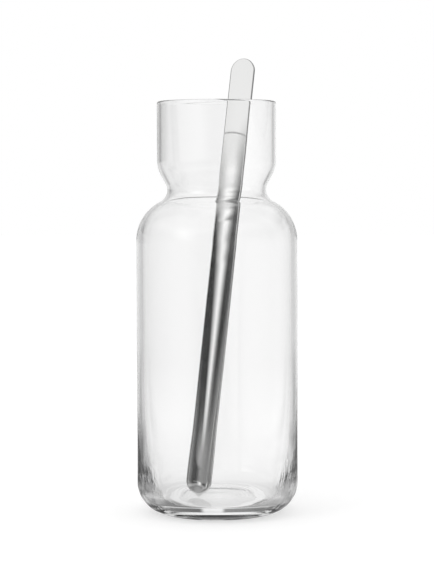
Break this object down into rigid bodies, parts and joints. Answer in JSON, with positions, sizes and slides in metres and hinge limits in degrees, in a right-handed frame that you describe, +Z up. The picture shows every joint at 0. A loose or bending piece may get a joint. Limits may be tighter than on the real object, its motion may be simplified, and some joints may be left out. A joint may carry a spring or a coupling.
{
  "type": "carafe with stirrer",
  "caption": "Clear glass carafe with a thick base, round shoulder, pinched neck and straight collar, and a loose pressed steel stirrer with a scoop end.",
  "frame": {"origin": "centre of the base, on the surface the carafe stands on", "axes": "+Z up along the carafe's axis; the stirrer leans back towards +Y and a little towards +X, with its open face towards -Y"},
  "size_m": [0.1, 0.1, 0.2836],
  "materials": {
    "clear_glass": "clear, smooth, fire-polished",
    "polished_steel": "polished stainless steel"
  },
  "bodies": {
    "carafe": {"carafe_glass": "clear_glass"},
    "stirrer": {"stirrer": "polished_steel"}
  },
  "joints": [
    {"name": "stirrer_lift", "type": "slide", "parent": "carafe", "child": "stirrer", "axis": [0, 0, 1], "range_m": [0, 0.26]}
  ]
}
